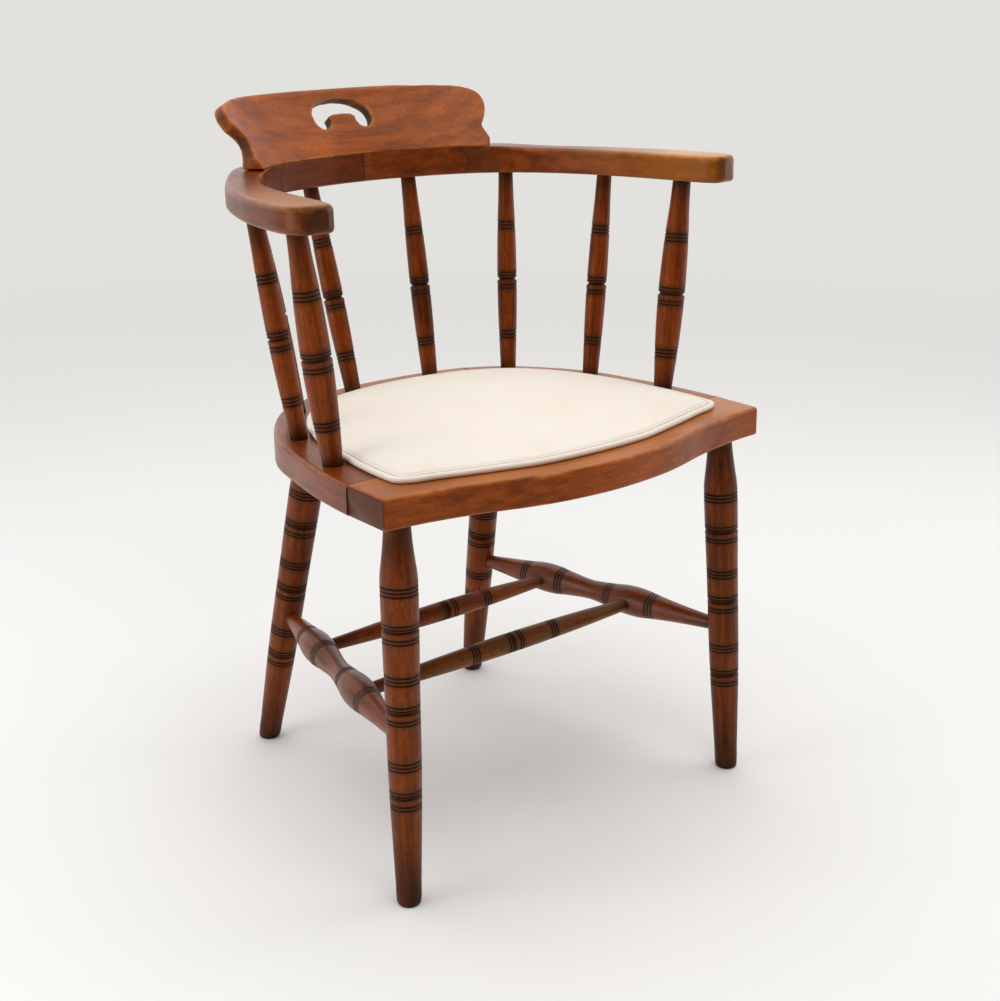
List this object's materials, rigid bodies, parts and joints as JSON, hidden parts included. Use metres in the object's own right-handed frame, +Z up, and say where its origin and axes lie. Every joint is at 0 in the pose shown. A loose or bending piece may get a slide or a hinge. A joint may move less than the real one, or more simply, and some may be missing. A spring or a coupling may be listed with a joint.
{
  "type": "captains chair",
  "caption": "Low-backed wooden captains chair: turned legs and spindles, sawn arm bow, raked crest rail with a finger hole, framed seat with a corded cloth pad.",
  "frame": {"origin": "floor level, under the centre of the chair's bounding box", "axes": "+Z up, +X to the right as seen by someone facing the chair, so the sitter faces -Y and the back is at +Y"},
  "size_m": [0.6078, 0.5356, 0.8086],
  "materials": {
    "polished_wood": "satin",
    "turned_wood": "satin",
    "worn_wood": "satin",
    "plain_board": "matte",
    "cream_cloth": "matte",
    "steel": "satin"
  },
  "bodies": {
    "root": {"seat_front_rail": "polished_wood", "seat_back_rail": "polished_wood", "seat_side_rail_left": "polished_wood", "seat_side_rail_right": "polished_wood", "leg_front_left": "turned_wood", "leg_front_right": "turned_wood", "leg_back_left": "turned_wood", "leg_back_right": "turned_wood", "bow_back_left": "polished_wood", "bow_back_right": "polished_wood", "arm_left": "worn_wood", "arm_right": "worn_wood", "crest_rail": "polished_wood", "crest_dowel_left_1": "turned_wood", "crest_dowel_left_2": "turned_wood", "crest_dowel_right_1": "turned_wood", "crest_dowel_right_2": "turned_wood", "arm_support_left": "turned_wood", "arm_support_right": "turned_wood", "side_spindle_left": "turned_wood", "side_spindle_right": "turned_wood", "rear_side_spindle_left": "turned_wood", "rear_side_spindle_right": "turned_wood", "rear_spindle_left": "turned_wood", "rear_spindle_right": "turned_wood", "side_stretcher_left": "turned_wood", "side_stretcher_right": "turned_wood", "cross_stretcher_front": "turned_wood", "cross_stretcher_back": "turned_wood", "seat_board": "plain_board", "board_screw_left_1": "steel", "board_screw_left_2": "steel", "board_screw_right_1": "steel", "board_screw_right_2": "steel", "seat_pad": "cream_cloth", "seat_piping": "cream_cloth"}
  },
  "joints": []
}
